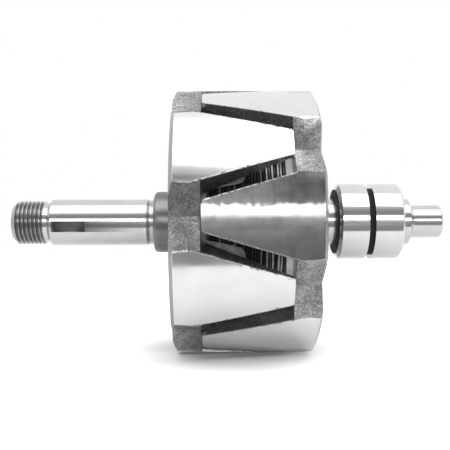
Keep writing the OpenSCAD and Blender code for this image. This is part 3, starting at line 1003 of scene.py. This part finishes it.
def make_pole_steel():
    """Forged skin everywhere, and turned steel where the lathe has reached."""
    material, tree, shader = new_material("forged_pole_steel")
    place = use_group(tree, place_on_shaft)
    skin = use_group(tree, forged_skin, {"Place": place["Place"], "Grain mm": GRAIN_MM})
    lines = lines_on(tree, place, POLE_LINES, POLE_WANDER)
    wear = mixture(tree, lines, POLE_LINES_SHARE, marks_on(tree, place, POLE_MARKS_MM))
    patches = marks_on(tree, place, PATCH_MM)
    dirt = mixture(tree, patches, PATCH_SHARE, lines)
    chips = marks_on(tree, place, CHIP_SIZE_MM)

    pole = measure_pole(tree, place)
    burr_and_highlight = burr_and_highlight_mask(tree, pole, chips)
    cut = maths(tree, "MAXIMUM", cut_mask(tree, pole, skin["Tone"], chips), burr_and_highlight)
    front, scuff_and_shade = front_claw_masks(tree, pole, patches)

    turned_tone = turned_pole_tone(tree, pole, wear, dirt, front, scuff_and_shade, burr_and_highlight)
    scale_tone = shade(tree, skin["Tone"], *FORGED_TONES)
    forged_tone = mix_colours(tree, skin["Specks"], scale_tone, grey(SPECK_TONE))
    dulled = times(tree, scuff_and_shade, outside(tree, burr_and_highlight))
    turned_rough = maths(tree, "MULTIPLY_ADD", dulled, SCUFF_ROUGH, blend(tree, wear, *TURNED_ROUGH))
    forged_rough = blend(tree, skin["Tone"], *FORGED_ROUGH)
    height = mix_values(tree, cut, skin["Height"], times(tree, lines, LINE_HEIGHT))
    fill(tree, shader, {
        "Base Color": mix_colours(tree, cut, forged_tone, turned_tone),
        "Roughness": mix_values(tree, cut, forged_rough, turned_rough),
        "Metallic": blend(tree, cut, FORGED_METALLIC, 1.0),
        "Normal": bumps(tree, height, SKIN_DEPTH),
    })
    return material


pole_steel = make_pole_steel()
print(pole_steel.name, "has", len(pole_steel.node_tree.nodes), "nodes")

# %% [markdown]
# ## Insulation and wire
# The bobbin is a pale moulding. Where varnish has run over it at the drive end it is dark and glossy, so its
# finish goes from one to the other along the shaft. Its tongues' rims are lighter, partly bare and partly a
# painted highlight. The wire is enamelled and varnished, nearly black, and its rubbed crests show bright
# metal, with a painted highlight along each crest. The insulator under the slip rings is a plain black
# moulding. Three flat colours could stand for them, but soft marks keep them from looking like paint.

# %% Make the bobbin's plastic
TONGUE_DROP = 0.3
BARE_AND_LIT_FROM, BARE_AND_LIT_TO = 0.05, 0.4
PALE_FROM, PALE_TO = 0.7, 0.8
RUN_OUT_MM = 3.0
# The lighter grey on the tongues' rims is partly bare varnish and partly a painted highlight.
DARK_TONES, PALE_TONES, BARE_AND_HIGHLIGHT_TONE = (0.15, 0.26), (0.93, 0.82), 0.45


def make_bobbin_plastic():
    """Pale at the slip-ring end, dark varnish at the drive end, tongues' edges partly bare, partly painted
    highlight.
    """
    material, tree, shader = new_material("varnished_bobbin_plastic")
    place = use_group(tree, place_on_shaft)
    marks = marks_on(tree, place, 4.0)
    start, end, rim_r = span("coil_bobbin")
    tongue_r = rim_r - TONGUE_DROP
    run_out = maths(tree, "MULTIPLY_ADD", marks, RUN_OUT_MM, place["Along"])
    pale = step(tree, run_out, start + PALE_FROM * (end - start), start + PALE_TO * (end - start))
    # The tongues' rims are lighter here, partly bare varnish and partly a painted highlight.
    bare_and_lit_edge = step(tree, place["Radius"], tongue_r - BARE_AND_LIT_FROM, tongue_r - BARE_AND_LIT_TO)
    dark_tone = mix_colours(tree, bare_and_lit_edge, shade(tree, marks, *DARK_TONES), grey(BARE_AND_HIGHLIGHT_TONE))
    fill(tree, shader, {
        "Base Color": mix_colours(tree, pale, dark_tone, shade(tree, marks, *PALE_TONES)),
        "Roughness": blend(tree, pale, 0.16, 0.45),
        "Specular IOR Level": 1.0,
        "Normal": bumps(tree, marks, 0.02),
    })
    return material


bobbin_plastic = make_bobbin_plastic()
print(bobbin_plastic.name, "has", len(bobbin_plastic.node_tree.nodes), "nodes")

# %% Make the wire and the black moulding
RUBBED_AND_LIT_FROM, RUBBED_AND_LIT_TO = 0.05, 0.85
WIRE_TONES, BLACK_TONES = (0.03, 0.9), (0.008, 0.02)


def make_wire_enamel():
    """Varnished wire, each turn with its own tone of wear and a painted highlight along its crest."""
    material, tree, shader = new_material("varnished_wire")
    marks = marks_on(tree, use_group(tree, place_on_shaft), 5.0)
    turn_wear_and_highlight = add(tree, "Attribute", attribute_name="turn_wear_and_highlight").outputs["Fac"]
    # Rubbed metal and a painted highlight along each wire's crest make the bright lines.
    rubbed_and_lit = times(tree, step(tree, turn_wear_and_highlight, RUBBED_AND_LIT_FROM, RUBBED_AND_LIT_TO), blend(tree, marks, 1.0, 0.6))
    fill(tree, shader, {
        "Base Color": shade(tree, rubbed_and_lit, *WIRE_TONES),
        "Roughness": blend(tree, rubbed_and_lit, 0.2, 0.34),
        "Metallic": 0.6,
    })
    return material


def make_black_moulding():
    """Black phenolic, slightly mottled."""
    material, tree, shader = new_material("black_moulding")
    marks = marks_on(tree, use_group(tree, place_on_shaft), 2.5)
    fill(tree, shader, {
        "Base Color": shade(tree, marks, *BLACK_TONES),
        "Roughness": blend(tree, marks, 0.45, 0.65),
        "Specular IOR Level": 0.15,
        "Normal": bumps(tree, marks, 0.01),
    })
    return material


wire_enamel = make_wire_enamel()
black_moulding = make_black_moulding()
print("made", wire_enamel.name, "and", black_moulding.name)

# %% [markdown]
# ## Each piece gets its finish
# A finish is put on by giving a mesh one material. The hidden core is the one solid that isn't drawn again,
# so it is shown as it came, with its finish on. A table of finishes and pieces shows at a glance which piece
# is made of what.

# %% Put the finishes on
finishes = {
    ground_steel: (shaft,),
    collar_steel: (collar,),
    ring_metal: (inner_ring, outer_ring),
    core_iron: (frame["nodes"]["field_core"],),
    pole_steel: (drive_pole, ring_pole),
    bobbin_plastic: (bobbin,),
    wire_enamel: (winding,),
    black_moulding: (insulator,),
}
for finish, pieces in finishes.items():
    for piece in pieces:
        piece.data.materials.clear()
        piece.data.materials.append(finish)
print(len(finishes), "finishes on", sum(map(len, finishes.values())), "pieces")

# %% [markdown]
# ## Table and card
# The rotor lies on a white table, one flat sheet that runs back to the horizon. The camera sees it lifted
# towards pure white, and less so close to the rotor, where its shadow lies. In front of the rotor lies a dark
# card that only reflections show. Polished cylinders are mirrors, so without it their lower half
# would be as white as the table and lose its form.

# %% Set the stage
TABLE_HALF_W, TABLE_FRONT, TABLE_BACK = 6.0, -3.0, 15.0
TABLE_TONE, CARD_TONE, PAPER_ROUGH = 0.80, 0.16, 0.9
SHADOW_FROM, SHADOW_TO, SHADOW_SQUEEZE = 0.049, 0.112, 2.2
LIFT_IN_SHADOW, LIFT_AROUND, LIFT_FAR = 0.0, 0.50, 0.5
FAR_FROM, FAR_TO = 0.15, 0.6
CARD_NEAR, CARD_FAR, CARD_HALF_W = -0.084, -0.75, 0.9


def stage_sheet(name, half_width, front, back, height, material):
    """A level rectangle in metres, its upper side facing up, which isn't part of the rotor."""
    corners = [(-half_width, front), (half_width, front), (half_width, back), (-half_width, back)]
    mesh = bpy.data.meshes.new(name)
    mesh.from_pydata([(x, y, height) for x, y in corners], [], [(0, 1, 2, 3)])
    mesh.materials.append(material)
    surface = bpy.data.objects.new(name, mesh)
    bpy.context.scene.collection.objects.link(surface)
    return surface


def make_table_white():
    """White paper, lifted towards pure white for the camera, least in the rotor's shadow.

    The shadow is an oval: the distance from the middle, with the direction along the shaft squeezed.
    """
    material, tree, shader = new_material("table_white")
    place = add(tree, "TexCoord").outputs["Object"]
    squeezed = add(tree, "VectorMath", {0: place, 1: (SHADOW_SQUEEZE, 1, 1)}, operation="MULTIPLY")
    away = add(tree, "VectorMath", {0: squeezed.outputs["Vector"]}, operation="LENGTH").outputs["Value"]
    around = blend(tree, step(tree, away, SHADOW_FROM, SHADOW_TO), LIFT_IN_SHADOW, LIFT_AROUND)
    lift = maths(tree, "MULTIPLY_ADD", step(tree, away, FAR_FROM, FAR_TO), LIFT_FAR, around)
    camera_ray = add(tree, "LightPath").outputs["Is Camera Ray"]
    fill(tree, shader, {
        "Base Color": grey(TABLE_TONE),
        "Roughness": PAPER_ROUGH,
        "Specular IOR Level": 0.0,
        "Emission Color": grey(1.0),
        "Emission Strength": times(tree, camera_ray, lift),
    })
    return material


def make_dark_card():
    """A dark card that only reflections show."""
    material, tree, shader = new_material("dark_card")
    fill(tree, shader, {"Base Color": grey(CARD_TONE), "Roughness": PAPER_ROUGH})
    return material


stage_sheet("table", TABLE_HALF_W, TABLE_FRONT, TABLE_BACK, floor_z, make_table_white())
card = stage_sheet("card", CARD_HALF_W, CARD_FAR, CARD_NEAR, floor_z + MM, make_dark_card())
card.visible_camera = card.visible_diffuse = card.visible_shadow = False
print(f"table at {floor_z / MM:.1f} mm, card from {-CARD_NEAR / MM:.0f} mm in front of the shaft")

# %% [markdown]
# ## Lamps
# What a polished shaft shows is its surroundings, and from top to bottom they are: a pale room behind, a wide
# softbox overhead, the dim front of the room, a strip light at eye height, the dark card and the white
# table. A third lamp stands close to the lens and lights the deep places between the claws. It is hidden from
# reflections, or it would put a bright spot on every cylinder. A lamp is given by its radiance, which is how
# bright it looks in a mirror, so its power follows from its area.

# %% Light the stage
ROTOR_AT = (0.0, 0.0, 0.0)


def softbox(name, centre, size, radiance):
    """An area lamp that faces the rotor. Its power is its radiance times pi times its area."""
    lamp = bpy.data.lights.new(name, "AREA")
    lamp.shape = "RECTANGLE"
    lamp.size, lamp.size_y = size
    lamp.energy = radiance * math.pi * size[0] * size[1]
    holder = bpy.data.objects.new(name, lamp)
    holder.location = centre
    holder.rotation_euler = (Vector(ROTOR_AT) - Vector(centre)).to_track_quat("-Z", "Y").to_euler()
    bpy.context.scene.collection.objects.link(holder)
    print(f"{name}: {lamp.energy:.2f} W")
    return holder


softbox("overhead_softbox", centre=(0.0, -0.219, 0.515), size=(1.3, 0.46), radiance=1.8)
softbox("eye_level_strip", centre=(0.0, -0.75, 0.115), size=(2.1, 0.16), radiance=3.4)
lens_fill = softbox("lens_fill", centre=(0.0, -0.32, 0.0), size=(0.30, 0.09), radiance=4.5)
lens_fill.visible_glossy = False

# %% [markdown]
# ## The room
# The world stands for the room. Behind the rotor it is pale. In front it is dim at eye height and grows paler
# towards the ceiling, which gives the top of each cylinder a soft change from dark to light. A picture of a
# studio could be used, but two smooth steps on the direction are enough. The camera itself sees
# plain white.

# %% Paint the room
FRONT_LOW, FRONT_HIGH, BEHIND = 0.27, 0.70, 0.95
HIGH_FROM, HIGH_TO = 0.42, 0.80
BEHIND_FROM, BEHIND_TO = -0.08, 0.06

world = bpy.data.worlds.new("studio_room")
bpy.context.scene.world = world
world.use_nodes = True
room = world.node_tree
direction = add(room, "TexCoord").outputs["Generated"]
toward = add(room, "SeparateXYZ", {0: direction}).outputs
front_tone = shade(room, step(room, toward["Z"], HIGH_FROM, HIGH_TO), FRONT_LOW, FRONT_HIGH)
room_tone = mix_colours(room, step(room, toward["Y"], BEHIND_FROM, BEHIND_TO), front_tone, grey(BEHIND))
camera_ray = add(room, "LightPath").outputs["Is Camera Ray"]
fill(room, room.nodes["Background"], {"Color": mix_colours(room, camera_ray, room_tone, grey(1.0))})
print(world.name, "goes from", FRONT_LOW, "in front to", BEHIND, "behind")

# %% [markdown]
# ## The camera
# The photograph's perspective is strong, so the camera is close. Its place follows from how much the near
# claws outgrow the shaft. It stands level with a point a little below the shaft, and is turned so that the
# rotor lies in the picture as it does in the photograph.

# %% Place the camera
CAMERA_AWAY = 0.269
CAMERA_X, CAMERA_Z = -0.00515, -0.0103
IMAGE_PX = 450
FOCUS_PX = 720.0
SIDE_POINT_PX = (214.3, 249.5)
SENSOR_MM = 36.0
ROLL = math.radians(0.2)
CLIP_NEAR, CLIP_FAR = 0.01, 20.0

lens = bpy.data.cameras.new("portrait_lens")
lens.sensor_width = SENSOR_MM
lens.lens = FOCUS_PX / IMAGE_PX * SENSOR_MM
lens.clip_start, lens.clip_end = CLIP_NEAR, CLIP_FAR
camera = bpy.data.objects.new("portrait_camera", lens)
camera.location = (CAMERA_X, -CAMERA_AWAY, CAMERA_Z)
turn_right = math.atan((IMAGE_PX / 2 - SIDE_POINT_PX[0]) / FOCUS_PX)
tilt_up = math.atan((SIDE_POINT_PX[1] - IMAGE_PX / 2) / FOCUS_PX)
camera.rotation_euler = (math.pi / 2 + tilt_up, ROLL, -turn_right)
bpy.context.scene.collection.objects.link(camera)
bpy.context.scene.camera = camera
bpy.context.scene.view_settings.view_transform = "Standard"
print(f"lens {lens.lens:.1f} mm, turned {math.degrees(turn_right):.2f} degrees to the right")
print(f"and tilted {math.degrees(tilt_up):.2f} degrees up")
